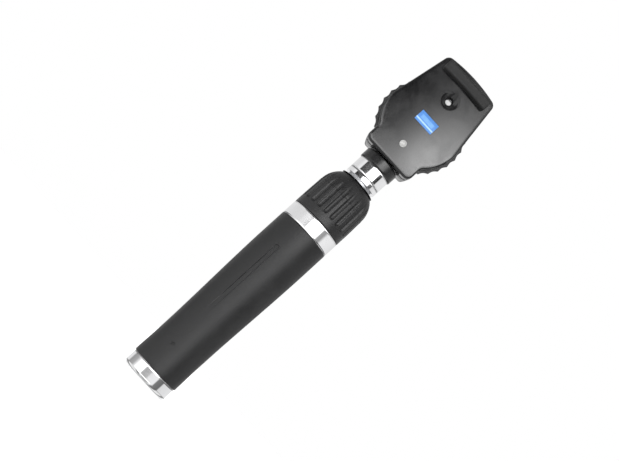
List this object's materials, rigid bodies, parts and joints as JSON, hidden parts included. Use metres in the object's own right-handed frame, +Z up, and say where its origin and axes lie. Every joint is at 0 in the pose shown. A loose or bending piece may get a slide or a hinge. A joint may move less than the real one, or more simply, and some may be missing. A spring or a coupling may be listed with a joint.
{
  "type": "ophthalmoscope",
  "caption": "Hand-held direct ophthalmoscope: lens-wheel head with brow rest on a twist-lock battery handle with rotary brightness sleeve.",
  "frame": {"origin": "centre of the end cap's flat bottom face", "axes": "+Z up the handle towards the head, -Y towards the examiner (brow rest side), +Y towards the patient, +X to the examiner's right"},
  "size_m": [0.0496, 0.0338, 0.2319],
  "materials": {
    "grip_rubber": "matte",
    "sleeve_plastic": "matte",
    "bright_chrome": "polished",
    "tube_aluminium": "satin",
    "cell_can": "satin",
    "brown_laminate": "satin",
    "contact_brass": "satin",
    "core_alloy": "satin",
    "carbon_track": "matte",
    "ivory_plastic": "satin",
    "carrier_plastic": "matte",
    "spring_steel": "polished",
    "seal_rubber": "matte",
    "collar_black": "satin",
    "chassis_alloy": "satin",
    "optic_black": "matte",
    "lens_glass": "gloss",
    "lamp_glass": "gloss",
    "mirror_silver": "polished",
    "shell_black": "satin",
    "brow_rubber": "satin",
    "bush_black": "gloss",
    "badge_blue": "gloss",
    "window_glass": "gloss",
    "wheel_black": "satin",
    "dial_white": "satin",
    "filter_green": "gloss"
  },
  "bodies": {
    "handle": {"battery_tube": "tube_aluminium", "grip_sleeve": "grip_rubber", "ring_band": "bright_chrome", "cell_lower": "cell_can", "cell_upper": "cell_can", "contact_plate": "brown_laminate", "battery_contact": "contact_brass", "core_screws": "spring_steel", "handle_core": "core_alloy", "feed_rod": "contact_brass", "rheostat_track": "carbon_track", "collector_ring": "contact_brass", "handle_neck": "bright_chrome", "insulator_bush": "ivory_plastic", "pin_spring": "spring_steel"},
    "contact_pin": {"contact_pin": "contact_brass"},
    "rheostat": {"rheostat_sleeve": "sleeve_plastic", "sleeve_bush": "ivory_plastic", "wiper_carrier": "carrier_plastic", "wiper": "contact_brass"},
    "cap_slider": {"battery_spring": "spring_steel"},
    "end_cap": {"end_cap": "bright_chrome", "cap_seal": "seal_rubber"},
    "head": {"neck_socket": "bright_chrome", "neck_collar": "collar_black", "lamp_base": "contact_brass", "lamp_bulb": "lamp_glass", "chassis": "chassis_alloy", "condenser_tube": "optic_black", "condenser_lens": "lens_glass", "objective_tube": "optic_black", "objective_lens": "lens_glass", "mirror_holder": "optic_black", "mirror": "mirror_silver", "front_cover": "shell_black", "rear_cover": "shell_black", "brow_rest": "brow_rubber", "sight_bush": "bush_black", "badge": "badge_blue", "index_window": "window_glass", "patient_window": "window_glass", "window_bezel": "bush_black", "wheel_axle": "spring_steel", "axle_washer": "contact_brass", "axle_clip": "spring_steel", "detent_spring": "spring_steel", "detent_ball": "spring_steel", "aperture_axle": "spring_steel", "filter_axle": "spring_steel", "cover_screws": "spring_steel"},
    "lens_wheel": {"lens_wheel": "wheel_black", "lens_set": "lens_glass", "lens_retainer": "optic_black", "number_ring": "dial_white"},
    "aperture_dial": {"aperture_dial": "wheel_black", "aperture_disc": "optic_black"},
    "filter_lever": {"filter_lever": "wheel_black", "filter_glass": "filter_green"}
  },
  "joints": [
    {"name": "rheostat_turn", "type": "hinge", "parent": "handle", "child": "rheostat", "pos_m": [0, 0, 0.135], "axis": [0, 0, 1], "range_deg": [0, 180]},
    {"name": "cap_travel", "type": "slide", "parent": "handle", "child": "cap_slider", "axis": [0, 0, -1], "range_m": [0, 0.00501]},
    {"name": "cap_turn", "type": "hinge", "parent": "cap_slider", "child": "end_cap", "pos_m": [0, 0, 0.004], "axis": [0, 0, -1], "range_deg": [0, 1440]},
    {"name": "head_turn", "type": "hinge", "parent": "handle", "child": "head", "pos_m": [0, 0, 0.158], "axis": [0, 0, 1], "range_deg": [0, 60]},
    {"name": "contact_press", "type": "slide", "parent": "handle", "child": "contact_pin", "axis": [0, 0, -1], "range_m": [0, 0.0012], "stiffness_N_per_m": 400, "springref_m": -0.002, "deforming": ["pin_spring"]},
    {"name": "lens_wheel_turn", "type": "hinge", "parent": "head", "child": "lens_wheel", "pos_m": [0, -0.0074, 0.1943], "axis": [0, 1, 0], "continuous": true},
    {"name": "aperture_turn", "type": "hinge", "parent": "head", "child": "aperture_dial", "pos_m": [0, 0.0056, 0.1892], "axis": [0, 0, 1], "continuous": true},
    {"name": "filter_swing", "type": "hinge", "parent": "head", "child": "filter_lever", "pos_m": [0.0054, 0.0026, 0.1916], "axis": [0, 0, 1], "range_deg": [0, 60]}
  ],
  "couplings": [
    {"joint": "cap_travel", "follows": "cap_turn", "m_per_rad": 0.00019894}
  ]
}
